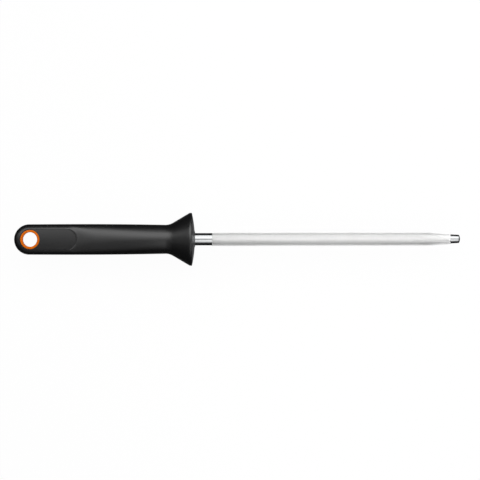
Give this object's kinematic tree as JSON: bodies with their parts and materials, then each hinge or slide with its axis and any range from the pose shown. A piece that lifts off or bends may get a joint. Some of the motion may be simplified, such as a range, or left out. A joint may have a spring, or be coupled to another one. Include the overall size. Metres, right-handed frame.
{
  "type": "knife sharpening steel",
  "caption": "Grooved steel rod for honing knives, set in a flared-guard plastic handle with shallow pads and a sleeved hanging hole.",
  "frame": {"origin": "centre of the hanging hole, midway between the handle's two shallow pads", "axes": "+X along the rod's axis towards its tip, +Y across the handle's wide way, +Z along the hanging hole's axis, out of a pad"},
  "size_m": [0.3365, 0.04, 0.04],
  "materials": {
    "rod_steel": "hard chromed, satin on the grooved length and polished on the collar and tip",
    "core_plastic": "fine matt texture",
    "grip_plastic": "satin",
    "ring_plastic": "semi-gloss orange"
  },
  "bodies": {
    "root": {"honing_rod": "rod_steel", "handle_core": "core_plastic", "grip_shell": "grip_plastic", "hang_ring": "ring_plastic"}
  },
  "joints": []
}
